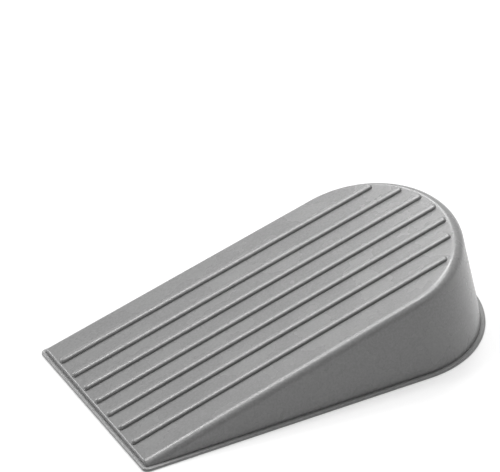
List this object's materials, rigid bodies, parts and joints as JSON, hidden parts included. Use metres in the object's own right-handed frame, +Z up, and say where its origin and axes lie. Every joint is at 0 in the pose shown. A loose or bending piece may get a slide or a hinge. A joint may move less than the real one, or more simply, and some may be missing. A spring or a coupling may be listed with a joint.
{
  "type": "door stop wedge",
  "caption": "Rubber door wedge with a ribbed ramp, square thin toe and rounded tall heel, on a thin grip sole that projects all round.",
  "frame": {"origin": "on the floor, under the middle of the sole's length and width", "axes": "+X from the thin toe to the tall heel, +Y across the wedge, +Z up from the floor"},
  "size_m": [0.1284, 0.089, 0.0326],
  "materials": {
    "body_rubber": "satin moulded grey rubber with a very fine grain",
    "sole_rubber": "matt soft grey rubber"
  },
  "bodies": {
    "root": {"wedge_body": "body_rubber", "grip_sole": "sole_rubber"}
  },
  "joints": []
}
